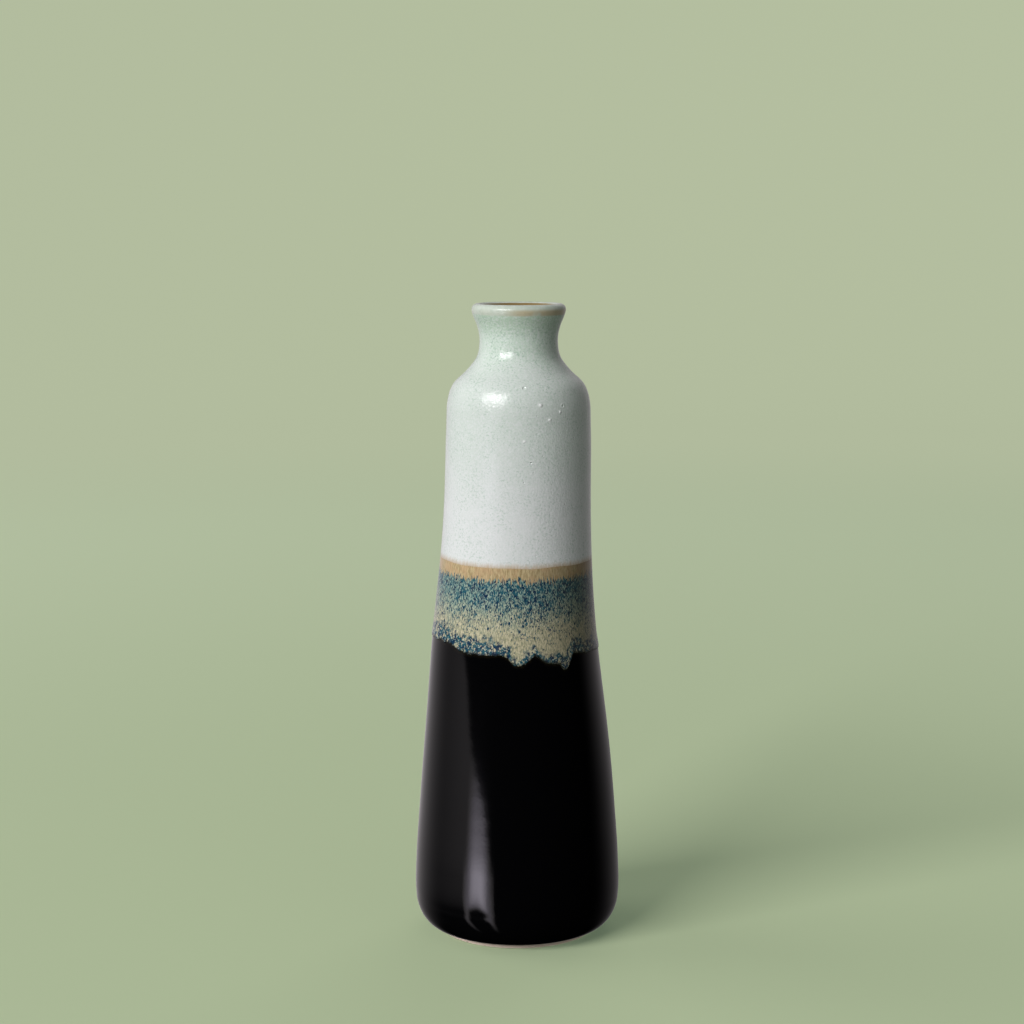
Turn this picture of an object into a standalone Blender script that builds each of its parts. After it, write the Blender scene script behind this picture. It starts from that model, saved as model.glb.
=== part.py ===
"""Ceramic bud vase: a hollow stoneware bottle under four coats of glaze.

Metres, +Z up. The origin is on the vase's axis, in the plane that its foot ring rests on, and the
vase's front faces -Y. One outline, the skin, runs from the middle of the cavity's floor, up the
inside, over the lip and down the outside. Every coat lies under a stretch of the skin, and the
clay lies under all of them.
"""

import math

import bmesh
import bpy

MM = 0.001

# Driving dimensions of the finished, glazed vase
HEIGHT = 180.0 * MM
BELLY_RADIUS = 29.25 * MM
BELLY_HEIGHT = 11.2 * MM
WAIST_RADIUS = 20.6 * MM
THROAT_RADIUS = 11.0 * MM
THROAT_HEIGHT = 169.3 * MM
LIP_RADIUS = 13.25 * MM
LIP_ROLL = 1.65 * MM  # half the lip's thickness
WALL = 4.0 * MM  # from the outer skin to the cavity
CAVITY_FLOOR = 8.5 * MM
CAVITY_CORNER = 10.0 * MM

# Radii and heights that the outer wall passes through between the lip and the belly
WALL_STATIONS = (
    (11.45 * MM, 173.0 * MM),
    (THROAT_RADIUS, THROAT_HEIGHT),
    (11.8 * MM, 165.0 * MM),
    (14.9 * MM, 161.0 * MM),
    (18.45 * MM, 157.4 * MM),
    (20.05 * MM, 152.6 * MM),
    (20.5 * MM, 145.0 * MM),
    (WAIST_RADIUS, 132.0 * MM),
    (21.0 * MM, 116.0 * MM),
    (22.2 * MM, 100.0 * MM),
    (24.95 * MM, 70.0 * MM),
    (27.85 * MM, 40.0 * MM),
)

# And those of the cavity's funnel between the lip and the throat
FUNNEL_STATIONS = (
    (9.6 * MM, 176.8 * MM),
    (8.1 * MM, 173.0 * MM),
)

# Foot: the wall turns under in a quarter ellipse, then the bare foot ring stands on the table
CORNER_END_RADIUS = 22.5 * MM
CORNER_END_HEIGHT = 1.4 * MM
FOOT_OUTER_RADIUS = 22.1 * MM
FOOT_INNER_RADIUS = 17.2 * MM
FOOT_CHAMFER = 0.3 * MM
RECESS_DEPTH = 2.0 * MM

# Glaze
COAT = 0.5 * MM
GAP = 0.3 * MM
BAND_TOP = 108.5 * MM
RUN_HEIGHT = 86.0 * MM  # where the pale glaze stops running, between its drips
DRIP_BLUNTNESS = 3
DRIPS = (  # azimuth from the front towards +X, half width, drop
    (-157, 8, 1.8 * MM),
    (-124, 10, 3.4 * MM),
    (-33, 14, 2.2 * MM),
    (-14, 9, 1.8 * MM),
    (2, 8.5, 4.9 * MM),
    (24, 11, 4.5 * MM),
    (35.5, 4.5, 4.0 * MM),
    (62, 26, 3.2 * MM),
    (92, 16, 2.2 * MM),
    (136, 11, 3.2 * MM),
    (178, 12, 4.4 * MM),
)

# Fineness of the turned shapes
TURN_STEPS = 40
RUN_LINE_STEPS = 120
CURVE_STEPS = 12
ARC_STEP = math.radians(5)
OUTSIDE_FACET_ERROR = 0.07 * MM
INSIDE_FACET_ERROR = 0.2 * MM
MERGE_DISTANCE = 0.00001

# The ring cutters around the wall that shape the run line
CROWN_INNER_RADIUS = 18 * MM
CROWN_OUTER_RADIUS = 32 * MM
CROWN_DEPTH = 15 * MM

CLAY_COLOUR = (0.48, 0.37, 0.29)
LINER_COLOUR = (0.34, 0.26, 0.14)
MINT_COLOUR = (0.62, 0.71, 0.62)
BAND_COLOUR = (0.30, 0.38, 0.34)
BLACK_COLOUR = (0.004, 0.004, 0.005)


def new_collection(name):
    collection = bpy.data.collections.new(name)
    bpy.context.scene.collection.children.link(collection)
    return collection


def new_material(name, colour, roughness):
    material = bpy.data.materials.new(name)
    material.use_nodes = True
    shader = material.node_tree.nodes["Principled BSDF"]
    shader.inputs["Base Color"].default_value = (*colour, 1)
    shader.inputs["Roughness"].default_value = roughness
    shader.inputs["Metallic"].default_value = 0
    return material


def arc(centre, radii, start, end):
    """Points of an elliptical arc in the (radius, height) plane, both ends included."""
    steps = max(2, round(abs(end - start) / ARC_STEP))
    points = []
    for i in range(steps + 1):
        angle = start + (end - start) * i / steps
        radius = centre[0] + radii[0] * math.cos(angle)
        height = centre[1] + radii[1] * math.sin(angle)
        points.append((radius, height))
    return points


def spline(stations):
    """A Catmull-Rom curve through the stations, both ends included."""
    first = extended(stations[1], stations[0])
    last = extended(stations[-2], stations[-1])
    knots = [first, *stations, last]
    points = [stations[0]]
    for i in range(1, len(knots) - 2):
        for step in range(1, CURVE_STEPS + 1):
            points.append(between(knots[i - 1 : i + 3], step / CURVE_STEPS))
    return points


def extended(inner, outer):
    return (2 * outer[0] - inner[0], 2 * outer[1] - inner[1])


def between(knots, t):
    """The Catmull-Rom point a share t of the way from the second knot to the third."""
    before, start, end, after = knots
    point = []
    for a, b, c, d in zip(before, start, end, after):
        linear = (c - a) * t
        square = (2 * a - 5 * b + 4 * c - d) * t**2
        cube = (3 * b - a - 3 * c + d) * t**3
        point.append(b + (linear + square + cube) / 2)
    return tuple(point)


def direction(start, end):
    return math.atan2(end[1] - start[1], end[0] - start[0])


def off_chord(point, start, end):
    """How far a point lies from the straight line through start and end."""
    run = (end[0] - start[0], end[1] - start[1])
    reach = (point[0] - start[0], point[1] - start[1])
    return abs(run[0] * reach[1] - run[1] * reach[0]) / math.hypot(*run)


def simplified(line, error):
    """The line without the points that lie this close to the chords between the others."""
    start, end = line[0], line[-1]
    errors = [off_chord(point, start, end) for point in line[1:-1]]
    if not errors or max(errors) <= error:
        return [start, end]
    split = errors.index(max(errors)) + 1
    return [*simplified(line[: split + 1], error), *simplified(line[split:], error)[1:]]


def simplified_about_crest(line, error):
    """A simplified line that keeps its highest point, and with it the vase's full height."""
    crest = line.index(max(line, key=lambda point: point[1]))
    return [*simplified(line[: crest + 1], error), *simplified(line[crest:], error)[1:]]


def moved_in(line, distance):
    """The line moved a distance to its right, from the skin into the clay."""
    headings = [direction(a, b) for a, b in zip(line, line[1:])]
    moved = []
    for i, (radius, height) in enumerate(line):
        before = headings[max(i - 1, 0)]
        after = headings[min(i, len(headings) - 1)]
        half_turn = math.remainder(after - before, math.tau) / 2
        heading = before + half_turn
        reach = distance / math.cos(half_turn)
        moved.append((radius + reach * math.sin(heading), height - reach * math.cos(heading)))
    return moved


def cut(line, height):
    """Splits a line at the first place where it comes down past a height."""
    for i in range(1, len(line)):
        (r0, z0), (r1, z1) = line[i - 1], line[i]
        if z1 <= height < z0:
            share = (z0 - height) / (z0 - z1)
            crossing = (r0 + (r1 - r0) * share, height)
            above = line[:i] if z0 - height > MERGE_DISTANCE else line[: i - 1]
            below = line[i:] if height - z1 > MERGE_DISTANCE else line[i + 1 :]
            return [*above, crossing], [crossing, *below]
    raise ValueError("the line doesn't cross this height")


def outside_line():
    """The skin from the mouth's inner edge over the lip and down to the foot."""
    roll_centre = (LIP_RADIUS - LIP_ROLL, HEIGHT - LIP_ROLL)
    lip = arc(roll_centre, (LIP_ROLL, LIP_ROLL), math.pi, math.radians(-20))
    wall = spline([lip[-1], *WALL_STATIONS, (BELLY_RADIUS, BELLY_HEIGHT)])
    corner_radii = (BELLY_RADIUS - CORNER_END_RADIUS, BELLY_HEIGHT - CORNER_END_HEIGHT)
    corner_centre = (CORNER_END_RADIUS, BELLY_HEIGHT)
    corner = arc(corner_centre, corner_radii, 0, -math.pi / 2)
    return [*lip, *wall[1:], *corner[1:]]


def inside_line(outside):
    """The skin from the middle of the cavity's floor up to just under the mouth's inner edge."""
    corner_height = CAVITY_FLOOR + CAVITY_CORNER
    below_throat = cut(outside, THROAT_HEIGHT)[1]
    wall = cut(moved_in(below_throat, WALL), corner_height)[0]
    funnel = spline([outside[0], *FUNNEL_STATIONS, wall[0]])
    corner_centre = (wall[-1][0] - CAVITY_CORNER, corner_height)
    corner = arc(corner_centre, (CAVITY_CORNER, CAVITY_CORNER), 0, -math.pi / 2)
    downward = [*funnel, *wall[1:], *corner[1:], (0, CAVITY_FLOOR)]
    return cut(downward, outside[0][1] - GAP)[1][::-1]


def foot_line():
    """The bare clay from the ledge that the glaze stops at to the middle of the underside."""
    edge = FOOT_OUTER_RADIUS
    hollow = FOOT_INNER_RADIUS
    return [
        (edge, CORNER_END_HEIGHT + COAT / 2),
        (edge, FOOT_CHAMFER),
        (edge - FOOT_CHAMFER, 0),
        (hollow + FOOT_CHAMFER, 0),
        (hollow, FOOT_CHAMFER),
        (hollow - FOOT_CHAMFER, RECESS_DEPTH - FOOT_CHAMFER),
        (hollow - 2 * FOOT_CHAMFER, RECESS_DEPTH),
        (0, RECESS_DEPTH),
    ]


def run_line(azimuth):
    """Height at which the pale glaze stops over the black, with a rounded drip at each of DRIPS."""
    height = RUN_HEIGHT
    for centre, half_width, drop in DRIPS:
        away = abs(math.remainder(math.degrees(azimuth) - centre, 360))
        height -= drop * math.exp(-((away / half_width) ** DRIP_BLUNTNESS))
    return height


def turned(name, profile, closed, material, collection):
    """A profile of (radius, height) points turned around the axis by a Screw modifier."""
    count = len(profile)
    edges = [(i, (i + 1) % count) for i in range(count if closed else count - 1)]
    mesh = bpy.data.meshes.new(name)
    mesh.from_pydata([(radius, 0, height) for radius, height in profile], edges, [])
    mesh.materials.append(material)
    piece = bpy.data.objects.new(name, mesh)
    collection.objects.link(piece)
    screw = piece.modifiers.new("turn", "SCREW")
    screw.axis = "Z"
    screw.angle = math.tau
    screw.steps = TURN_STEPS
    screw.render_steps = TURN_STEPS
    screw.use_merge_vertices = True
    screw.merge_threshold = MERGE_DISTANCE
    screw.use_smooth_shade = True
    return piece


def coat(name, skin, material, collection):
    """A coat of glaze under a stretch of the skin."""
    under = moved_in(skin, COAT)
    return turned(name, [*skin, *reversed(under)], True, material, collection)


def crown(name, flat_height, lift, collection):
    """A ring cutter around the wall: one end flat, the other on the run line plus a lift."""
    builder = bmesh.new()
    corners = []
    for radius in (CROWN_INNER_RADIUS, CROWN_OUTER_RADIUS):
        corners.append(builder.verts.new((radius, 0, flat_height)))
    for radius in (CROWN_OUTER_RADIUS, CROWN_INNER_RADIUS):
        corners.append(builder.verts.new((radius, 0, RUN_HEIGHT)))
    edges = [builder.edges.new((corners[i - 1], corners[i])) for i in range(4)]
    turn = {"cent": (0, 0, 0), "axis": (0, 0, 1), "angle": math.tau, "steps": RUN_LINE_STEPS}
    bmesh.ops.spin(builder, geom=corners + edges, use_merge=True, **turn)
    for vertex in builder.verts:
        if abs(vertex.co.z - RUN_HEIGHT) < MERGE_DISTANCE:
            azimuth = math.atan2(vertex.co.x, -vertex.co.y)
            vertex.co.z = run_line(azimuth) + lift
    bmesh.ops.recalc_face_normals(builder, faces=builder.faces)
    return cutter_from(name, builder, collection)


def cutter_from(name, builder, collection):
    mesh = bpy.data.meshes.new(name)
    builder.to_mesh(mesh)
    builder.free()
    cutter = bpy.data.objects.new(name, mesh)
    cutter.hide_render = True
    cutter.display_type = "WIRE"
    cutter.rotation_euler.z = math.pi / RUN_LINE_STEPS
    collection.objects.link(cutter)
    return cutter


def cut_away(piece, cutter):
    boolean = piece.modifiers.new("run_line", "BOOLEAN")
    boolean.operation = "DIFFERENCE"
    boolean.solver = "EXACT"
    boolean.object = cutter


def stoneware_body(inside, outside, parts):
    """The fired clay: the skin moved in by a coat and its gap, closed by the foot."""
    clay = moved_in([*inside, *outside], COAT + GAP)
    clay[0] = (0, clay[0][1])
    material = new_material("stoneware", CLAY_COLOUR, 0.8)
    return turned("stoneware_body", [*clay, *foot_line()], False, material, parts)


def liner_glaze(inside, parts):
    """The inner coat, from the floor up to just under the mint glaze on the lip."""
    under = moved_in(inside, COAT)
    under[0] = (0, under[0][1])
    material = new_material("liner_glaze", LINER_COLOUR, 0.25)
    return turned("liner_glaze", [*inside, *reversed(under)], False, material, parts)


def mint_glaze(outside, parts):
    """The pale coat over the lip, neck, shoulder and upper wall."""
    skin = cut(outside, BAND_TOP + GAP)[0]
    return coat("mint_glaze", skin, new_material("mint_glaze", MINT_COLOUR, 0.15), parts)


def band_glaze(outside, parts, cutters):
    """The overlap where the pale glaze ran down over the black, and reacted with it."""
    lowest = RUN_HEIGHT - CROWN_DEPTH / 2
    skin = cut(cut(outside, BAND_TOP)[1], lowest)[0]
    piece = coat("band_glaze", skin, new_material("band_glaze", BAND_COLOUR, 0.2), parts)
    cut_away(piece, crown("below_run_line", RUN_HEIGHT - CROWN_DEPTH, 0, cutters))
    return piece


def black_glaze(outside, parts, cutters):
    """The dark coat from the run line down to the foot ring."""
    skin = cut(outside, RUN_HEIGHT + CROWN_DEPTH / 2)[1]
    piece = coat("black_glaze", skin, new_material("black_glaze", BLACK_COLOUR, 0.08), parts)
    cut_away(piece, crown("above_run_line", RUN_HEIGHT + CROWN_DEPTH, -GAP, cutters))
    return piece


def build():
    for leftover in list(bpy.data.objects):
        bpy.data.objects.remove(leftover)
    parts = new_collection("bud_vase")
    cutters = new_collection("cutters")
    outside = outside_line()
    inside = simplified(inside_line(outside), INSIDE_FACET_ERROR)
    outside = simplified_about_crest(outside, OUTSIDE_FACET_ERROR)
    pieces = [
        stoneware_body(inside, outside, parts),
        liner_glaze(inside, parts),
        mint_glaze(outside, parts),
        band_glaze(outside, parts, cutters),
        black_glaze(outside, parts, cutters),
    ]
    base = bpy.data.objects.new("vase_base", None)
    parts.objects.link(base)
    for piece in pieces:
        piece.parent = base


build()
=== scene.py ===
"""Ceramic bud vase: the fine surfaces and glazes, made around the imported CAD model.

Everything is in metres, in the CAD model's frame: +Z up along the vase's axis, -Y towards its
front. An azimuth is counted from the front towards +X. The finished surface is one outline, the
skin, read from the CAD clay body and its cover of glaze. Each glaze is a closed coat between the
skin and the clay, and all of them share one slight, hand-thrown wander of the whole pot.
"""

import math
from collections import namedtuple

import bmesh
import bpy
import numpy as np
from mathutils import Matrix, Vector


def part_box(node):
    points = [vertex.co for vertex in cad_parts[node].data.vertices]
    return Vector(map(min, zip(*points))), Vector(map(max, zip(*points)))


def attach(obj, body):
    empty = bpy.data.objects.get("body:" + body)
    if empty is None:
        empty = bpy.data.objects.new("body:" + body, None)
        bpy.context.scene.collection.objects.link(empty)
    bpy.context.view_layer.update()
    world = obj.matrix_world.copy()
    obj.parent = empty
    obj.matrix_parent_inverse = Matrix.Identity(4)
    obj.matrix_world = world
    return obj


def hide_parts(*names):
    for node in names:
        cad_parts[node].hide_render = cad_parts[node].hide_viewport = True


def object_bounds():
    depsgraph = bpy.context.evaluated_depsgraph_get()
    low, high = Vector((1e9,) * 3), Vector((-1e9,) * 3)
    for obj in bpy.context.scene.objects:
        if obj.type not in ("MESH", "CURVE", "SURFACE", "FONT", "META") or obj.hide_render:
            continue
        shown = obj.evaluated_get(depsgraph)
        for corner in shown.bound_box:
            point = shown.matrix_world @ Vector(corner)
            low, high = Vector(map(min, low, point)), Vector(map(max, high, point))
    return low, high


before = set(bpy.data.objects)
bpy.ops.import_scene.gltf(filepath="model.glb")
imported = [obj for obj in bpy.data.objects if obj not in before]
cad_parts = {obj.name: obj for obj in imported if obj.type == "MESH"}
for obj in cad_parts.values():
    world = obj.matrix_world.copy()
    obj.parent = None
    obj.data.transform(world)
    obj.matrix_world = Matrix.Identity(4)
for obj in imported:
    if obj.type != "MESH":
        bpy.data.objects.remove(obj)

cad_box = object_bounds()

MM = 0.001
WELD = 1e-6
TURN = math.tau
DEGREE = math.pi / 180

# Fineness of the turned surfaces
AROUND = 400
MINT_AROUND = 270
LINE_STEP = 0.1 * MM
MINT_STEP = 0.7 * MM
BAND_STEP = 0.2 * MM
BLACK_STEP = 0.45 * MM
LINER_STEP = 1.0 * MM
HIDDEN_STEP = 3.0 * MM  # rows of a coat's underside, which the clay hides
CLAY_ROWS = 140
SHARP = math.radians(50)

# The long wall between the shoulder and the belly, and how far its kinks are averaged out
WALL_HIGH = 152 * MM
WALL_LOW = 12 * MM
WALL_FADE = 10 * MM
WALL_IRON = 6 * MM

# How close a coat lies on the clay, and how far apart two coats' ends are
FUSED = 0.03 * MM
SEAM = 0.01 * MM

# Glaze surface
RIM_BULGE = 0.22 * MM  # thickening where the running glaze stopped
RIM_RISE = 0.4 * MM
RIM_FADE = 2.4 * MM
RIM_RAGGED = 0.16 * MM
FOOT_EDGE = 0.5 * MM  # rounding of the black coat's lower edge
EDGE_THINNING = 0.35  # share of the cover that's missing there
TAN_TILT = 0.55 * MM
TAN_WAVES = 0.1 * MM
COAT_WAVES = 0.03 * MM  # slow changes in the coats' thickness
THROWING_RINGS = 0.001 * MM
THROWING_PITCH = 5.5 * MM
CALM_LIP = 4 * MM  # the waves and rings fade out this near to the lip's top
CALM_FOOT = 6 * MM

# The thrown pot's wander off its axis: its top leans right, and its middle sways left and back
LEAN = 0.4 * MM
LEAN_HEIGHT = 131 * MM
LEFT_SWAY = 0.75 * MM
LEFT_HEIGHT = 88 * MM
BACK_SWAY = 0.4 * MM
BACK_HEIGHT = 112 * MM

# Burst blisters, which dip, and nodules, which rise, in the mint glaze: each one's azimuth from
# the front, height on the vase, radius, and rise or dip
Blemish = namedtuple("Blemish", "degrees height radius rise")
BLEMISHES = (
    Blemish(4.4, 157.6 * MM, 0.45 * MM, -0.16 * MM),
    Blemish(17.4, 153.0 * MM, 0.45 * MM, 0.2 * MM),
    Blemish(24.7, 148.9 * MM, 0.4 * MM, 0.18 * MM),
    Blemish(4.4, 143.2 * MM, 0.34 * MM, 0.13 * MM),
    Blemish(10.0, 137.3 * MM, 0.26 * MM, -0.15 * MM),
    Blemish(4.4, 131.8 * MM, 0.24 * MM, -0.13 * MM),
    Blemish(34.0, 151.0 * MM, 0.36 * MM, 0.16 * MM),
    Blemish(37.0, 152.6 * MM, 0.34 * MM, -0.16 * MM),
)
BLEMISH_STEP = 0.13 * MM

# Photographer's camera
CAMERA_DISTANCE = 0.640
CAMERA_HEIGHT = 0.2082
CAMERA_ASIDE = -1.5 * MM
CAMERA_PITCH = math.radians(7.76)
CAMERA_LENS = 80.05
SENSOR_WIDTH = 36.0

# Backdrop
FLOOR_RADIUS = 1.5
BEND = 0.7
WALL_TOP = 1.1
SAGE = (178, 187, 153)
PALE_SAGE = (198, 206, 175)
FLOOR_GLOW = (83, 98, 79)
WALL_SAGE = (96, 102, 82)
WALL_GLOW = (165, 174, 147)

# Lights and the room in the reflections
KEY_DISTANCE = 6.0
KEY_SIZE = (3.7, 2.2)
FILL_DISTANCE = 8.0
FILL_SIZE = (6.0, 6.0)
AIR_COLOUR = (0.93, 1, 0.9, 1)
AIR_LIGHT = 0.04
TABLE_LIGHT = 0.16  # how much more comes from below, off the table
ROOM_TINT = (255, 247, 250)
ROOM_BEHIND = 0.45
STREAK_AZIMUTH = -45 * DEGREE
STREAK_TINT = (247, 239, 255)
STREAK_LIGHT = 5.0
LEGS_LIGHT = 0.7


# ---------------------------------------------------------------- outlines


def section(node):
    """The points, as rows of radius and height, where the half plane through the axis and +X cuts
    a CAD node, in order from its upper end on the axis to its lower one."""
    solid = bmesh.new()
    solid.from_mesh(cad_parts[node].data)
    bmesh.ops.remove_doubles(solid, verts=solid.verts, dist=WELD)
    flat = {v for v in solid.verts if abs(v.co.y) < WELD and v.co.x > -WELD}

    def onward(vertex):
        others = [edge.other_vert(vertex) for edge in vertex.link_edges]
        return [other for other in others if other in flat]

    ends = [v for v in flat if len(onward(v)) == 1]
    chain = [max(ends, key=lambda v: v.co.z)]
    seen = set(chain)
    while True:
        fresh = [v for v in onward(chain[-1]) if v not in seen]
        if not fresh:
            break
        chain.append(fresh[0])
        seen.add(fresh[0])
    line = np.array([(v.co.x, v.co.z) for v in chain])
    solid.free()
    return line


def moved(line, distance):
    """A line moved to its left, from the clay out to the skin, with its corners kept sharp."""
    steps = np.diff(line, axis=0)
    headings = np.unwrap(np.arctan2(steps[:, 1], steps[:, 0]))
    before = np.concatenate([headings[:1], headings])
    after = np.concatenate([headings, headings[-1:]])
    heading = (before + after) / 2
    reach = distance / np.cos((after - before) / 2)
    out = line + np.stack([-np.sin(heading), np.cos(heading)], 1) * reach[:, None]
    out[0, 0] = line[0, 0]
    return out


def smoothed(line):
    """A smooth curve through the points of a line, sampled every LINE_STEP or so."""
    spans = np.linalg.norm(np.diff(line, axis=0), axis=1)
    slopes = np.diff(line, axis=0) / spans[:, None]
    inner = (slopes[:-1] * spans[1:, None] + slopes[1:] * spans[:-1, None]) / (
        spans[:-1] + spans[1:]
    )[:, None]
    tangents = np.concatenate([slopes[:1], inner, slopes[-1:]])
    points = [line[:1]]
    for i, span in enumerate(spans):
        t = np.linspace(0, 1, max(2, round(span / LINE_STEP)) + 1)[1:, None]
        start, end = line[i], line[i + 1]
        leave, arrive = tangents[i] * span, tangents[i + 1] * span
        curve = (2 * t**3 - 3 * t**2 + 1) * start + (3 * t**2 - 2 * t**3) * end
        curve += (t**3 - 2 * t**2 + t) * leave + (t**3 - t**2) * arrive
        points.append(curve)
    return ironed(np.concatenate(points))


def ironed(line):
    """The line with the last kinks averaged out of its long wall, for even reflections."""
    reach = round(WALL_IRON / LINE_STEP)
    weights = np.exp(-0.5 * (np.arange(-3 * reach, 3 * reach + 1) / reach) ** 2)
    weights /= weights.sum()
    padded = np.pad(line, ((3 * reach, 3 * reach), (0, 0)), mode="edge")
    averaged = np.stack([np.convolve(column, weights, "valid") for column in padded.T], 1)
    below_shoulder = step(line[:, 1], WALL_HIGH, WALL_HIGH - WALL_FADE)
    above_belly = step(line[:, 1], WALL_LOW, WALL_LOW + WALL_FADE)
    outside = np.arange(len(line)) > line[:, 1].argmax()
    share = (below_shoulder * above_belly * outside)[:, None]
    return line + (averaged - line) * share


def step(value, low, high):
    """0 at low, 1 at high, smooth between."""
    share = np.clip((value - low) / (high - low), 0, 1)
    return share * share * (3 - 2 * share)


def rounded(line, times=3):
    """A line with its corners cut again and again, so that it never leaves its own hull."""
    for _ in range(times):
        starts, ends = line[:-1], line[1:]
        cuts = np.stack([0.75 * starts + 0.25 * ends, 0.25 * starts + 0.75 * ends], 1)
        line = np.concatenate([line[:1], cuts.reshape(-1, 2), line[-1:]])
    return line


class Outline:
    """A smooth line in the half plane, measured by the distance along it."""

    def __init__(self, points):
        self.points = points
        steps = np.diff(points, axis=0)
        self.along = np.concatenate([[0], np.cumsum(np.linalg.norm(steps, axis=1))])
        tangents = np.gradient(points, self.along, axis=0)
        tangents /= np.linalg.norm(tangents, axis=1)[:, None]
        self.normals = np.stack([-tangents[:, 1], tangents[:, 0]], 1)

    def at(self, along, lift=0.0):
        """Radius and height at a distance along the line, lifted off it by so much."""
        radius, height, out, up = (
            np.interp(along, self.along, column)
            for column in (*self.points.T, *self.normals.T)
        )
        return radius + out * lift, height + up * lift

    def falling_past(self, height):
        """Distance along the outside of the line at which it comes down past a height."""
        crest = int(self.points[:, 1].argmax())
        falling = self.points[crest:, 1][::-1]
        return np.interp(height, falling, self.along[crest:][::-1])


clay_line = section("stoneware_body")
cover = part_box("black_glaze")[1].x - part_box("stoneware_body")[1].x
glaze_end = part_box("black_glaze")[0].z
glazed_points = int((clay_line[:, 1] < glaze_end + cover / 2).argmax())
skin = Outline(smoothed(moved(clay_line[:glazed_points], cover)))

mouth_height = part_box("liner_glaze")[1].z
crest = int(skin.points[:, 1].argmax())
mouth = np.interp(mouth_height, skin.points[:crest, 1], skin.along[:crest])
foot = skin.along[-1]
lip_top = cad_box[1].z
band_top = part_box("band_glaze")[1].z
wall_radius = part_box("band_glaze")[1].x


# ---------------------------------------------------------------- the glazes' edges


def azimuths(count=AROUND):
    return np.arange(count) * TURN / count


def waves(azimuth, height, first, last, seed):
    """A smooth, closed wave around the vase of about this height, made of several harmonics."""
    draw = np.random.default_rng(seed)
    harmonics = np.arange(first, last + 1)
    phases = draw.uniform(0, TURN, len(harmonics))
    sizes = draw.uniform(0.4, 1.0, len(harmonics))
    sizes *= height / np.linalg.norm(sizes)
    return (sizes * np.cos(np.multiply.outer(azimuth, harmonics) + phases)).sum(-1)


def lowest_points(node):
    """The lowest point of a CAD coat at each whole degree around it, as azimuths and heights."""
    points = np.array([v.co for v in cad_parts[node].data.vertices])
    azimuth = np.arctan2(points[:, 0], -points[:, 1]) % TURN
    degree = np.rint(azimuth / DEGREE).astype(int) % 360
    order = np.lexsort((points[:, 2], degree))
    first = order[np.unique(degree[order], return_index=True)[1]]
    low = first[points[first, 2] < points[:, 2].mean()]
    return azimuth[low], points[low, 2]


def run_line(azimuth):
    """Height at which the running glaze stopped, with the CAD model's drips and a ragged edge."""
    around, heights = lowest_points("band_glaze")
    height = np.interp(azimuth, around, heights, period=TURN)
    return height + waves(azimuth, RIM_RAGGED, 20, 75, seed=3)


def top_line(azimuth):
    """Height of the tan line where the overlap begins, a little lower at the front."""
    tilt = -TAN_TILT * np.cos(azimuth - 0.3)
    return band_top + tilt + waves(azimuth, TAN_WAVES, 3, 12, seed=5)


# ---------------------------------------------------------------- the pot's own irregularity


def bump(x, centre, width):
    """1 at the centre, fading to nothing within a few widths."""
    return np.exp(-(((x - centre) / width) ** 2))


def wander(height):
    """How far the thrown pot's middle strays sideways from its axis at a height."""
    aside = LEAN / (1 + np.exp((LEAN_HEIGHT - height) / (8 * MM)))
    aside -= LEFT_SWAY * bump(height, LEFT_HEIGHT, 24 * MM)
    back = BACK_SWAY * bump(height, BACK_HEIGHT, 30 * MM)
    return aside, back


def wall_ripple(height, azimuth):
    """Faint spiral throwing rings in the wall, and the coats' slow changes in thickness."""
    turns = height / THROWING_PITCH + azimuth / TURN
    strength = 0.6 + 0.4 * np.sin(height / (17 * MM) + 2 * azimuth)
    rings = THROWING_RINGS * strength * np.cos(TURN * turns)
    lobes = np.cos(2 * azimuth + height / (40 * MM)) + np.cos(3 * azimuth - height / (23 * MM) + 1)
    return rings + COAT_WAVES * lobes / 2


def placed(radius, height, azimuth):
    """Points in space, as an array of rows around the vase, each a ring of (x, y, z)."""
    aside, back = wander(height)
    x = radius * np.sin(azimuth) + aside
    y = -radius * np.cos(azimuth) + back
    return np.stack([x, y, np.broadcast_to(height, x.shape)], -1)


def skin_rings(along, azimuth, lift):
    """Rings on the finished skin, or lifted off it by so much."""
    radius, height = skin.at(along, lift)
    outside = np.clip((along - skin.along[crest]) / CALM_LIP, 0, 1)
    above_foot = np.clip((foot - along) / CALM_FOOT, 0, 1)
    radius = radius + wall_ripple(height, azimuth) * outside * above_foot
    return placed(radius, height, azimuth)


# ---------------------------------------------------------------- meshes


def new_mesh(name, rings, closed, **marks):
    """A mesh from rings of points, each joined to the next, and the last to the first if closed.
    Marks are numbers on its points, which materials read."""
    count, around = rings.shape[:2]
    index = np.arange(count * around).reshape(count, around)
    if closed:
        index = np.concatenate([index, index[:1]])
    right = np.roll(index, -1, axis=1)
    corners = np.stack([index[:-1], index[1:], right[1:], right[:-1]], -1).reshape(-1, 4)
    mesh = bpy.data.meshes.new(name)
    mesh.from_pydata(rings.reshape(-1, 3).tolist(), [], corners.tolist())
    for mark, values in marks.items():
        layer = mesh.attributes.new(mark, "FLOAT", "POINT")
        layer.data.foreach_set("value", np.broadcast_to(values, (count, around)).ravel())
    mesh.shade_smooth()
    return mesh


def cleaned(mesh):
    """Merges the points that meet on the axis, and turns the faces outwards."""
    solid = bmesh.new()
    solid.from_mesh(mesh)
    bmesh.ops.remove_doubles(solid, verts=solid.verts, dist=WELD)
    bmesh.ops.recalc_face_normals(solid, faces=solid.faces)
    solid.to_mesh(mesh)
    solid.free()
    mesh.set_sharp_from_angle(angle=SHARP)


def piece(name, mesh, material, node):
    """An object that rides on the vase's one body and stands for a CAD node."""
    cleaned(mesh)
    made = bpy.data.objects.new(name, mesh)
    bpy.context.scene.collection.objects.link(made)
    made.data.materials.append(material)
    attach(made, "root")
    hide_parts(node)


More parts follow.
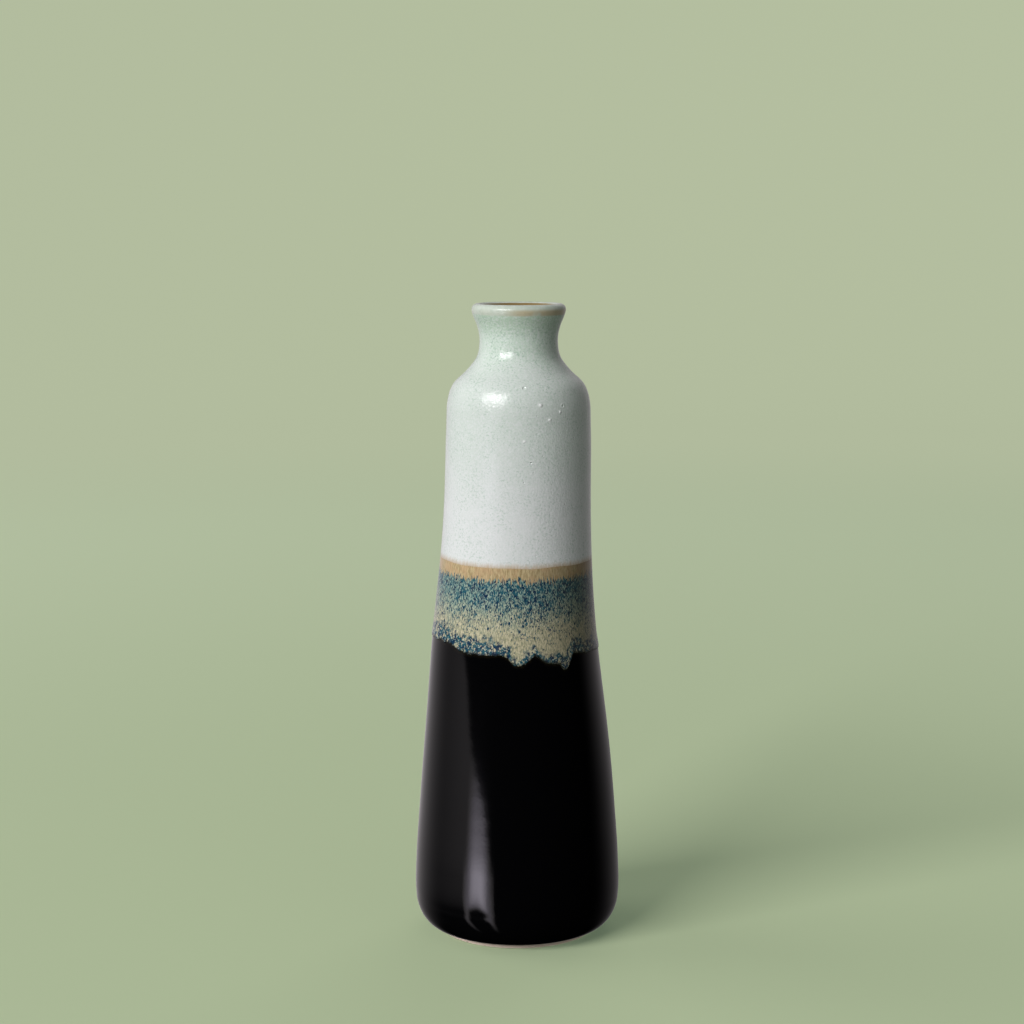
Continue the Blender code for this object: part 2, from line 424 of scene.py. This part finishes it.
def coat_rings(top, bottom, step_size, lift, azimuth, fine=()):
    """A closed loop of rings: down the skin from top to bottom, then back up on the clay. Rows
    are finer around the distances along the skin given as fine."""
    length = float(np.max(bottom - top))
    rows = np.linspace(0, length, round(length / step_size) + 1)
    rows = refined(rows, [place - float(np.mean(top)) for place in fine], BLEMISH_STEP)
    along = top + (bottom - top) * rows[:, None] / length
    outer = skin_rings(along, azimuth, lift(along))
    hidden_rows = np.linspace(1, 0, 3 + round(length / HIDDEN_STEP))[:, None]
    hidden = top + (bottom - top) * hidden_rows
    under = skin_rings(hidden, azimuth, FUSED - cover)
    return np.concatenate([outer, under]), np.concatenate([along, hidden])


def refined(values, centres, fine_step, reach=7):
    """The values, with others a fine step apart added around each of the centres."""
    extra = [centre + fine_step * np.arange(-reach, reach + 1) for centre in centres]
    return np.unique(np.concatenate([values, *extra]).round(7))


def no_lift(along):
    return 0.0 * along


def away_from(blemish, along, azimuth):
    """Distance over the skin from a blemish's middle, as a multiple of its radius."""
    here = skin.falling_past(blemish.height)
    wide = skin.at(here)[0]
    aside = wide * ((azimuth - math.radians(blemish.degrees) + math.pi) % TURN - math.pi)
    return np.hypot(aside, along - here) / blemish.radius


def blemishes(along, azimuth):
    """Height of the small nodules and of the burst blisters, each with a raised ring around it."""
    lift = 0.0 * along
    for blemish in BLEMISHES:
        away = away_from(blemish, along, azimuth)
        lift += blemish.rise * bump(away, 0, 1)
        if blemish.rise < 0:
            lift -= 0.5 * blemish.rise * bump(away, 1.5, 0.45)
    return lift


def nodules(along, azimuth):
    """1 on the tops of the raised nodules and 0 away from them."""
    raised = [blemish for blemish in BLEMISHES if blemish.rise > 0]
    return sum(bump(away_from(blemish, along, azimuth), 0, 1) for blemish in raised)


def mint_coat(material):
    """From the mouth's inner edge over the lip and down to the tan line."""
    places = [math.radians(blemish.degrees) for blemish in BLEMISHES]
    azimuth = refined(azimuths(MINT_AROUND), places, BLEMISH_STEP / wall_radius)
    top = np.full(len(azimuth), mouth)
    bottom = skin.falling_past(top_line(azimuth)) - SEAM
    fine = [skin.falling_past(blemish.height) for blemish in BLEMISHES]

    def lift(along):
        return blemishes(along, azimuth)

    rings, along = coat_rings(top, bottom, MINT_STEP, lift, azimuth, fine)
    marks = {"above_band": bottom - along, "past_crest": along - skin.along[crest]}
    marks["nodule"] = nodules(along, azimuth)
    mesh = new_mesh("mint_coat", rings, True, **marks)
    piece("mint_coat", mesh, material, "mint_glaze")


def band_coat(material):
    """The overlap, from the tan line to the run line, where it ends in a rounded, raised rim."""
    azimuth = azimuths()
    top = skin.falling_past(top_line(azimuth))
    bottom = skin.falling_past(run_line(azimuth))

    def rim(along):
        above = np.maximum(bottom - along, 0)
        rise = np.sqrt(1 - np.clip(1 - above / RIM_RISE, 0, 1) ** 2)
        return RIM_BULGE * rise * np.exp(-((above / RIM_FADE) ** 2))

    rings, along = coat_rings(top, bottom, BAND_STEP, rim, azimuth)
    marks = {"below_top": along - top, "above_run": bottom - along}
    mesh = new_mesh("band_coat", rings, True, **marks)
    piece("band_coat", mesh, material, "band_glaze")


def black_coat(material):
    """From the run line down to a rounded edge just above the foot ring."""
    azimuth = azimuths()
    top = skin.falling_past(run_line(azimuth)) + SEAM

    def edge(along):
        below = np.clip((along - foot + FOOT_EDGE) / FOOT_EDGE, 0, 1)
        return -EDGE_THINNING * cover * (1 - np.sqrt(1 - below**2))

    rings, along = coat_rings(top, np.full(AROUND, foot), BLACK_STEP, edge, azimuth)
    mesh = new_mesh("black_coat", rings, True, below_run=along - top)
    piece("black_coat", mesh, material, "black_glaze")


def liner_coat(material):
    """From the middle of the cavity's floor up to the mouth's inner edge."""
    azimuth = azimuths(AROUND // 2)
    bottom = np.zeros(len(azimuth))
    rings, _ = coat_rings(bottom, bottom + mouth - SEAM, LINER_STEP, no_lift, azimuth)
    piece("liner_coat", new_mesh("liner_coat", rings, True), material, "liner_glaze")


def clay_body(material):
    """The clay under the glazes, with its bare foot ring and the turned recess under it."""
    azimuth = azimuths()
    glazed = skin_rings(np.linspace(0, foot, CLAY_ROWS)[:, None], azimuth, -cover)
    foot_points = rounded(clay_line[glazed_points:])
    bare = placed(foot_points[:, :1], foot_points[:, 1:], azimuth)
    mesh = new_mesh("clay_body", np.concatenate([glazed, bare]), False)
    piece("clay_body", mesh, material, "stoneware_body")


# ---------------------------------------------------------------- materials

# Colours of the glazes and the clay, each 0 to 255 on a screen
MINT_WALL = (223, 226, 225)
MINT_SHOULDER = (212, 221, 214)
MINT_NECK = (202, 218, 204)
MINT_POOL = (188, 208, 188)
MINT_MILK = (236, 235, 238)
MINT_DEPTHS = (146, 176, 156)
# near white on the nodules' tops: partly pale glaze, partly a painted glint
NODULE_WHITE_AND_GLINT = (252, 252, 252)
LIP_DULL = (176, 192, 174)
LIP_PALE = (222, 226, 218)
LIP_TAN = (192, 172, 132)
# the liner's honey tan inside the mouth, darkened as painted shade
SHADED_MOUTH_TAN = (140, 118, 76)
EDGE_TAN = (190, 166, 136)
OCHRE_DARK = (154, 133, 94)
OCHRE_LIGHT = (206, 186, 146)
OCHRE_PINK = (196, 160, 124)
CREAM_DARK = (140, 143, 116)
CREAM_LIGHT = (208, 197, 166)
GREEN_DARK = (92, 126, 126)
GREEN_LIGHT = (160, 180, 162)
NEEDLE_BLUE = (20, 44, 74)
NEEDLE_TEAL = (38, 88, 104)
SPECK_BLUE = (24, 60, 84)
POOL_BLUE = (16, 44, 72)
POOL_TEAL = (32, 84, 98)
POOL_DOTS = (180, 196, 184)
RIM_OLIVE = (16, 20, 15)
# painted shade for the band's right side
RIGHT_SHADE_OLIVE = (74, 72, 58)
BLACK = (4, 4, 5)
FRINGE_OLIVE = (26, 22, 13)
# the liner's honey brown, darkened as painted shade inside the mouth
SHADED_HONEY_DARK = (92, 76, 44)
SHADED_HONEY_LIGHT = (140, 122, 82)
CLAY_DARK = (232, 206, 189)
CLAY_LIGHT = (250, 232, 217)
IRON = (110, 82, 62)


def linear(colour):
    """A colour of 0 to 255 on a screen, as linear light."""
    shares = [c / 255 for c in colour]
    return [c / 12.92 if c <= 0.04045 else ((c + 0.055) / 1.055) ** 2.4 for c in shares]


class Graph:
    """The nodes of one material, added and linked by short calls."""

    def __init__(self, name):
        self.material = bpy.data.materials.new(name)
        self.material.use_nodes = True
        self.tree = self.material.node_tree
        self.shader = self.tree.nodes["Principled BSDF"]
        self.place = self.add("TexCoord", {}).outputs["Object"]

    @classmethod
    def of_world(cls, world):
        """The same short calls for the nodes of the world."""
        graph = cls.__new__(cls)
        graph.tree = world.node_tree
        return graph

    def add(self, kind, inputs, **settings):
        node = self.tree.nodes.new("ShaderNode" + kind)
        for name, value in settings.items():
            setattr(node, name, value)
        for name, value in inputs.items():
            self.put(node.inputs[name], value)
        return node

    def put(self, socket, value):
        if isinstance(value, bpy.types.NodeSocket):
            self.tree.links.new(value, socket)
        else:
            socket.default_value = value

    def math(self, operation, a, b=0.0, c=0.0):
        return self.add("Math", {0: a, 1: b, 2: c}, operation=operation).outputs[0]

    def stretched(self, size, tall):
        """Object coordinates counted in sizes, and upwards in sizes tall times as long."""
        scale = (1 / size, 1 / size, 1 / (size * tall))
        return self.add("Mapping", {"Vector": self.place, "Scale": scale}).outputs["Vector"]

    def noise(self, size, detail=2.0, roughness=0.5, tall=1.0):
        """Noise whose blotches are about size across, and tall times as high."""
        inputs = {"Vector": self.stretched(size, tall), "Scale": 1.0}
        inputs.update({"Detail": detail, "Roughness": roughness})
        return self.add("TexNoise", inputs).outputs["Fac"]

    def cells(self, size, tall=1.0):
        """Distance to the nearest of scattered points about size apart, in sizes."""
        inputs = {"Vector": self.stretched(size, tall), "Scale": 1.0}
        return self.add("TexVoronoi", inputs).outputs["Distance"]

    def mark(self, name):
        return self.add("Attribute", {}, attribute_name=name).outputs["Fac"]

    def rise(self, value, low, high):
        """0 at low, 1 at high, smooth between; low may be above high."""
        inputs = {"Value": value, "From Min": low, "From Max": high}
        return self.add("MapRange", inputs, interpolation_type="SMOOTHSTEP").outputs[0]

    def mix(self, share, a, b):
        """A blend of two colours, given as sockets or as 0 to 255 on a screen."""
        node = self.add("Mix", {0: share}, data_type="RGBA")
        for socket, colour in ((node.inputs[6], a), (node.inputs[7], b)):
            is_socket = isinstance(colour, bpy.types.NodeSocket)
            self.put(socket, colour if is_socket else (*linear(colour), 1))
        return node.outputs[2]

    def height(self):
        return self.add("SeparateXYZ", {0: self.place}).outputs["Z"]

    def aside(self):
        """How far to the right of the axis."""
        return self.add("SeparateXYZ", {0: self.place}).outputs["X"]

    def bump(self, value, depth):
        """Raises the surface by value times depth."""
        inputs = {"Height": value, "Distance": depth, "Strength": 1.0}
        self.put(self.shader.inputs["Normal"], self.add("Bump", inputs).outputs[0])

    def finish(self, colour, roughness, **constants):
        self.put(self.shader.inputs["Base Color"], colour)
        self.put(self.shader.inputs["Roughness"], roughness)
        for name, value in constants.items():
            self.shader.inputs[name.replace("_", " ")].default_value = value
        return self.material


def mint_glaze():
    """Pale mint in full light and greener where it pools on the neck, with fine dots in its depth,
    a pale lip, and tan wherever it runs thin over an edge."""
    g = Graph("mint_glaze")
    height = g.height()
    cloudy = g.math("MULTIPLY_ADD", g.noise(12 * MM), 16 * MM, height)
    colour = g.mix(g.rise(cloudy, lip_top - 22 * MM, lip_top - 54 * MM), MINT_SHOULDER, MINT_WALL)
    colour = g.mix(g.rise(cloudy, lip_top - 14 * MM, lip_top - 2 * MM), colour, MINT_NECK)
    colour = g.mix(g.rise(height, lip_top - 10 * MM, lip_top - 4.5 * MM), colour, MINT_POOL)
    on_neck = g.rise(height, lip_top - 30 * MM, lip_top - 12 * MM)
    milk = g.rise(g.noise(0.5 * MM, detail=2, roughness=0.6), 0.45, 0.62)
    colour = g.mix(g.math("MULTIPLY", milk, 0.4), colour, MINT_MILK)
    depths = g.rise(g.noise(0.55 * MM, detail=3, roughness=0.65), 0.5, 0.66)
    depths = g.math("MULTIPLY", depths, g.rise(g.noise(6 * MM), 0.25, 0.6))
    depths = g.math("MULTIPLY", depths, g.math("MULTIPLY_ADD", on_neck, 0.25, 0.4))
    colour = g.mix(depths, colour, MINT_DEPTHS)
    pale_lip = g.mix(g.noise(1.5 * MM, detail=4, roughness=0.7), LIP_DULL, LIP_PALE)
    colour = g.mix(g.rise(height, lip_top - 3.1 * MM, lip_top - 2.6 * MM), colour, pale_lip)
    colour = g.mix(lip_break(g, height), colour, LIP_TAN)
    # inside the mouth: the liner's honey tan, darkened as painted shade
    inwards = g.rise(g.mark("past_crest"), -0.9 * MM, -1.2 * MM)
    colour = g.mix(inwards, colour, SHADED_MOUTH_TAN)
    fibres = g.noise(0.5 * MM, tall=5)
    above = g.math("MULTIPLY_ADD", fibres, -1.6 * MM, g.mark("above_band"))
    colour = g.mix(g.rise(above, 1.1 * MM, -1.5 * MM), colour, EDGE_TAN)
    # the nodules' tops are painted near white: partly pale glaze, partly a painted glint
    colour = g.mix(g.mark("nodule"), colour, NODULE_WHITE_AND_GLINT)
    pinholes = g.rise(g.cells(3.4 * MM), 0.05, 0.09)
    peel = g.math("ADD", g.noise(1.6 * MM, detail=2), g.noise(0.6 * MM))
    g.bump(g.math("MULTIPLY_ADD", peel, 1.6, pinholes), 0.05 * MM)
    return g.finish(colour, 0.19, Specular_IOR_Level=0.42)


def lip_break(g, height):
    """Where the glaze thins to tan under the rolled lip, from the front round to the right."""
    low = g.rise(height, lip_top - 3.3 * MM, lip_top - 2.7 * MM)
    high = g.rise(height, lip_top - 0.9 * MM, lip_top - 1.9 * MM)
    right = g.rise(g.aside(), -5 * MM, 2 * MM)
    share = g.math("MULTIPLY_ADD", right, 0.6, 0.1)
    patchy = g.rise(g.noise(5 * MM), 0.3, 0.55)
    return g.math("MULTIPLY", g.math("MULTIPLY", low, high), g.math("MULTIPLY", share, patchy))


def band_glaze():
    """The overlap: tan, then blue needles thinning to specks on cream, and blue pools at the rim.
    It's darkened towards the right as painted shade."""
    g = Graph("band_glaze")
    below = g.mark("below_top")
    aside = g.aside()
    colour = needled(g, below, aside, band_ground(g, below))
    spikes = g.math("MULTIPLY_ADD", g.noise(0.34 * MM, detail=1, tall=7), 6 * MM, below)
    spikes = g.math("MULTIPLY_ADD", g.noise(5 * MM), 2 * MM, spikes)
    colour = g.mix(g.rise(spikes, 7.1 * MM, 7.7 * MM), ochre(g), colour)
    colour = pooled(g, g.mark("above_run"), aside, colour)
    # painted shade: the band is darkened towards its right side
    painted_shade_right = g.math("MULTIPLY", g.rise(aside, -2 * MM, 20 * MM), 0.42)
    colour = g.mix(painted_shade_right, colour, RIGHT_SHADE_OLIVE)
    g.bump(g.noise(1.2 * MM, detail=2), 0.02 * MM)
    return g.finish(colour, 0.2)


def ochre(g):
    """Tan with upright fibres, pinkish in patches and paler in others."""
    fibres = g.noise(0.35 * MM, detail=3, roughness=0.7, tall=5)
    colour = g.mix(g.rise(fibres, 0.3, 0.7), OCHRE_DARK, OCHRE_LIGHT)
    patches = g.rise(g.noise(3 * MM, detail=2), 0.4, 0.62)
    return g.mix(g.math("MULTIPLY", patches, 0.45), colour, OCHRE_PINK)


def band_ground(g, below):
    """Fine upright strands: grey-green under the needles, turning to cream further down."""
    strands = g.rise(g.noise(0.3 * MM, detail=3, roughness=0.65, tall=3.5), 0.35, 0.62)
    cream = g.mix(strands, CREAM_DARK, CREAM_LIGHT)
    green = g.mix(strands, GREEN_DARK, GREEN_LIGHT)
    uneven = g.math("MULTIPLY_ADD", g.noise(4 * MM, detail=2), 8 * MM, below)
    return g.mix(g.rise(uneven, 10 * MM, 24 * MM), green, cream)


def needled(g, below, aside, ground):
    """Dark blue needles, dense at the top, and farther down larger and sparser specks."""
    needles = g.noise(0.28 * MM, detail=3, roughness=0.6, tall=2.6)
    clumps = g.math("MULTIPLY_ADD", g.noise(2.2 * MM, detail=2), 0.24, -0.12)
    amount = g.rise(below, 27 * MM, 4 * MM)
    level = g.math("MULTIPLY_ADD", amount, -0.19, 0.67)
    level = g.math("MULTIPLY_ADD", g.rise(aside, -10 * MM, 2 * MM), -0.025, level)
    inked = g.math("SUBTRACT", g.math("ADD", needles, clumps), level)
    ink = g.mix(g.rise(g.noise(1.1 * MM), 0.4, 0.6), NEEDLE_BLUE, NEEDLE_TEAL)
    colour = g.mix(g.rise(inked, -0.012, 0.018), ground, ink)
    specks = g.rise(g.cells(1.6 * MM, tall=1.3), 0.27, 0.19)
    kept = g.rise(g.noise(1.5 * MM), 0.44, 0.52)
    zone = g.math("MULTIPLY", g.rise(below, 7 * MM, 11 * MM), g.rise(below, 25 * MM, 16 * MM))
    specks = g.math("MULTIPLY", g.math("MULTIPLY", specks, kept), zone)
    return g.mix(specks, colour, SPECK_BLUE)


def pooled(g, above, aside, ground):
    """Blue and teal pools with pale dots along the run line, deepest on the sides, and
    dark olive where the rim meets the black."""
    left = g.math("MULTIPLY", g.rise(aside, 4 * MM, -10 * MM), -2.4 * MM)
    sides = g.math("MULTIPLY_ADD", g.rise(aside, 5 * MM, 13 * MM), -1.8 * MM, left)
    ragged = g.math("MULTIPLY_ADD", g.noise(2 * MM, detail=3), 9 * MM, above)
    low = g.rise(g.math("ADD", ragged, sides), 7.8 * MM, 5.6 * MM)
    blots = g.rise(g.noise(0.8 * MM, detail=3, roughness=0.65, tall=1.3), 0.4, 0.48)
    blue = g.mix(g.rise(g.noise(1.3 * MM), 0.4, 0.6), POOL_BLUE, POOL_TEAL)
    colour = g.mix(g.math("MULTIPLY", low, blots), ground, blue)
    dots = g.rise(g.noise(0.5 * MM, detail=2), 0.6, 0.68)
    colour = g.mix(g.math("MULTIPLY", low, dots), colour, POOL_DOTS)
    fringe = g.math("MULTIPLY_ADD", g.noise(0.7 * MM, detail=3), 2.2 * MM, above)
    return g.mix(g.rise(fringe, 2.2 * MM, 1.1 * MM), colour, RIM_OLIVE)


def black_glaze():
    """Deep glossy black, with an olive fringe where the pale glaze ran into it."""
    g = Graph("black_glaze")
    below = g.math("MULTIPLY_ADD", g.noise(0.9 * MM, detail=2), 1.2 * MM, g.mark("below_run"))
    colour = g.mix(g.rise(below, 1.4 * MM, 0.2 * MM), BLACK, FRINGE_OLIVE)
    g.bump(g.noise(0.7 * MM, detail=2), 0.005 * MM)
    return g.finish(colour, 0.07)


def liner_glaze():
    """Honey brown inside, in long streaks, darkened as painted shade inside the mouth."""
    g = Graph("liner_glaze")
    streaks = g.noise(2.2 * MM, detail=4, roughness=0.6, tall=6)
    # the honey is darkened as painted shade inside the mouth
    colour = g.mix(g.rise(streaks, 0.35, 0.65), SHADED_HONEY_DARK, SHADED_HONEY_LIGHT)
    g.bump(streaks, 0.03 * MM)
    return g.finish(colour, 0.25)


def bare_clay():
    """Fired, unglazed stoneware: pinkish tan, grainy, with iron specks."""
    g = Graph("bare_clay")
    grain = g.noise(0.35 * MM, detail=4, roughness=0.7)
    colour = g.mix(grain, CLAY_DARK, CLAY_LIGHT)
    specks = g.rise(g.cells(1.8 * MM), 0.16, 0.1)
    colour = g.mix(g.math("MULTIPLY", specks, 0.6), colour, IRON)
    g.bump(grain, 0.06 * MM)
    return g.finish(colour, 0.85)


# ---------------------------------------------------------------- stage, light and camera


def cyclorama():
    """A round, seamless sweep: a flat floor that curves up into a low wall on every side. Only
    the camera sees it, so it casts no green on the vase and holds back no light."""
    bends = np.linspace(0, math.pi / 2, 25)
    curve = np.stack([FLOOR_RADIUS + BEND * np.sin(bends), BEND - BEND * np.cos(bends)], 1)
    flat = np.array([[r * FLOOR_RADIUS, 0] for r in (0, 0.1, 0.3, 0.6)])
    top = np.array([[FLOOR_RADIUS + BEND, WALL_TOP]])
    line = np.concatenate([flat, curve, top])
    azimuth = azimuths(96)
    x = line[:, :1] * np.sin(azimuth)
    y = line[:, :1] * np.cos(azimuth)
    rings = np.stack([x, y, np.broadcast_to(line[:, 1:], x.shape)], -1)
    sweep = bpy.data.objects.new("cyclorama", new_mesh("cyclorama", rings, False))
    bpy.context.scene.collection.objects.link(sweep)
    sweep.data.materials.append(sage_paper())
    sweep.visible_glossy = False
    sweep.visible_diffuse = False
    sweep.visible_shadow = False


def sage_paper():
    """Matt sage paper that glows a little, so that the shadow on it stays light. Farther out it
    glows more, so that it looks even."""
    g = Graph("sage_paper")
    away = g.add("VectorMath", {0: g.place}, operation="LENGTH").outputs["Value"]
    far = g.rise(away, 0.5 * FLOOR_RADIUS, 0.95 * FLOOR_RADIUS)
    colour = g.mix(g.rise(away, 0, 0.6 * FLOOR_RADIUS), SAGE, PALE_SAGE)
    g.put(g.shader.inputs["Emission Color"], g.mix(far, FLOOR_GLOW, WALL_GLOW))
    colour = g.mix(far, colour, WALL_SAGE)
    return g.finish(colour, 0.95, Emission_Strength=1.0, Specular_IOR_Level=0.0)


def area_light(name, azimuth, elevation, distance, size, strength):
    """A soft panel that faces the vase from an azimuth counted from the front. The strength is
    the brightness that it alone gives a white surface at the vase that faces it."""
    light = bpy.data.lights.new(name, "AREA")
    light.shape = "RECTANGLE"
    light.size, light.size_y = size
    light.energy = strength * (math.pi * distance) ** 2
    lamp = bpy.data.objects.new(name, light)
    bpy.context.scene.collection.objects.link(lamp)
    a, e = math.radians(azimuth), math.radians(elevation)
    towards = Vector((math.sin(a) * math.cos(e), -math.cos(a) * math.cos(e), math.sin(e)))
    middle = Vector((0, 0, (cad_box[0].z + cad_box[1].z) / 2))
    lamp.location = middle + towards * distance
    lamp.rotation_euler = towards.to_track_quat("Z", "Y").to_euler()
    lamp.visible_camera = False
    return lamp


def fill_light(name, azimuth, elevation, strength):
    """A wide panel that brightens surfaces but isn't seen in their gloss."""
    lamp = area_light(name, azimuth, elevation, FILL_DISTANCE, FILL_SIZE, strength)
    lamp.visible_glossy = False


def studio():
    """A softbox at the front left, with fill light on both sides, overhead and behind."""
    area_light("key", -42, 27, KEY_DISTANCE, KEY_SIZE, 0.98)
    fill_light("left_fill", -110, 20, 0.3)
    fill_light("right_fill", 30, 15, 0.05)
    fill_light("overhead", 0, 90, 0.05)
    fill_light("behind", 165, 25, 0.2)
    surroundings()


def surroundings():
    """Faint light from all round, more of it off the table, and a room for reflections."""
    world = bpy.data.worlds.new("studio")
    world.use_nodes = True
    bpy.context.scene.world = world
    g = Graph.of_world(world)
    direction = g.add("TexCoord", {}).outputs["Generated"]
    x, y, z = g.add("SeparateXYZ", {0: direction}).outputs
    azimuth = g.math("ARCTAN2", x, g.math("MULTIPLY", y, -1))
    elevation = g.math("ARCSINE", z)
    room = g.math("ADD", dim_room(g, azimuth, elevation), table_glint(g, azimuth, elevation))
    tint = g.mix(g.rise(room, 0.3, 1.5), ROOM_TINT, STREAK_TINT)
    shown = g.add("Background", {"Color": tint, "Strength": room})
    off_table = g.math("MULTIPLY_ADD", g.rise(z, 0.2, -0.3), TABLE_LIGHT, AIR_LIGHT)
    even = g.add("Background", {"Color": AIR_COLOUR, "Strength": off_table})
    ray = g.add("LightPath", {}).outputs["Is Glossy Ray"]
    both = g.add("MixShader", {0: ray, 1: even.outputs[0], 2: shown.outputs[0]})
    g.put(g.tree.nodes["World Output"].inputs["Surface"], both.outputs[0])


def left_of_screen(g, azimuth, elevation):
    """1 to the left of a dark screen's slanting side and under its top edge, 0 on the screen."""
    slant = g.math("MULTIPLY_ADD", elevation, 7.8, azimuth)
    side = g.rise(slant, -91.5 * DEGREE, -94 * DEGREE)
    under = g.math("MULTIPLY_ADD", azimuth, 0.03, elevation)
    return g.math("MULTIPLY", side, g.rise(under, -4.4 * DEGREE, -4.9 * DEGREE))


def dim_room(g, azimuth, elevation):
    """A dark room that opens to a pale one behind the vase, with a dim wall on the left and the
    vase's own shadow on the table to the right."""
    aside = g.math("ABSOLUTE", azimuth)
    behind = g.math("MULTIPLY", g.rise(aside, 92 * DEGREE, 170 * DEGREE), ROOM_BEHIND)
    shadow = g.math("MULTIPLY", g.rise(azimuth, 60 * DEGREE, 100 * DEGREE), 0.55)
    shadow = g.math("MULTIPLY", shadow, g.rise(elevation, -3 * DEGREE, -14 * DEGREE))
    behind = g.math("MULTIPLY", behind, g.math("SUBTRACT", 1, shadow))
    wall = g.rise(azimuth, -28 * DEGREE, -40 * DEGREE)
    wall = g.math("MULTIPLY", wall, left_of_screen(g, azimuth, elevation))
    bright = g.rise(azimuth, -110 * DEGREE, -50 * DEGREE)
    bright = g.math("MULTIPLY_ADD", bright, 0.25, 0.17)
    bright = g.math("MULTIPLY", bright, g.rise(elevation, -28 * DEGREE, -3 * DEGREE))
    light = g.math("MULTIPLY_ADD", wall, bright, behind)
    return g.math("MULTIPLY", light, g.rise(elevation, -45 * DEGREE, -10 * DEGREE))


def table_glint(g, azimuth, elevation):
    """The softbox's light on the table: a soft streak that ends in two thin, faint legs."""
    turned = g.math("SUBTRACT", azimuth, STREAK_AZIMUTH)
    aside = g.math("ABSOLUTE", turned)
    middle = g.rise(aside, 17 * DEGREE, 2 * DEGREE)
    middle = g.math("MULTIPLY", middle, g.rise(elevation, -4 * DEGREE, -13 * DEGREE))
    arch = g.math("MULTIPLY_ADD", g.math("POWER", aside, 2), 3, elevation)
    arch = g.math("MULTIPLY_ADD", turned, 0.25, arch)
    middle = g.math("MULTIPLY", middle, g.rise(arch, -22 * DEGREE, -11 * DEGREE))
    middle = g.math("MULTIPLY", middle, left_of_screen(g, azimuth, elevation))
    legs = g.rise(aside, 11 * DEGREE, 15 * DEGREE)
    legs = g.math("MULTIPLY", legs, g.rise(aside, 20 * DEGREE, 16 * DEGREE))
    legs = g.math("MULTIPLY", legs, g.rise(elevation, -8 * DEGREE, -15 * DEGREE))
    legs = g.math("MULTIPLY", legs, g.rise(elevation, -60 * DEGREE, -25 * DEGREE))
    return g.math("MULTIPLY_ADD", middle, STREAK_LIGHT, g.math("MULTIPLY", legs, LEGS_LIGHT))


def camera():
    data = bpy.data.cameras.new("camera")
    data.lens = CAMERA_LENS
    data.sensor_width = SENSOR_WIDTH
    data.clip_start = 0.01
    eye = bpy.data.objects.new("camera", data)
    bpy.context.scene.collection.objects.link(eye)
    eye.location = (CAMERA_ASIDE, -CAMERA_DISTANCE, CAMERA_HEIGHT)
    eye.rotation_euler = (math.pi / 2 - CAMERA_PITCH, 0, 0)
    bpy.context.scene.camera = eye


clay_body(bare_clay())
liner_coat(liner_glaze())
mint_coat(mint_glaze())
band_coat(band_glaze())
black_coat(black_glaze())
cyclorama()
studio()
camera()
bpy.context.scene.view_settings.view_transform = "Standard"
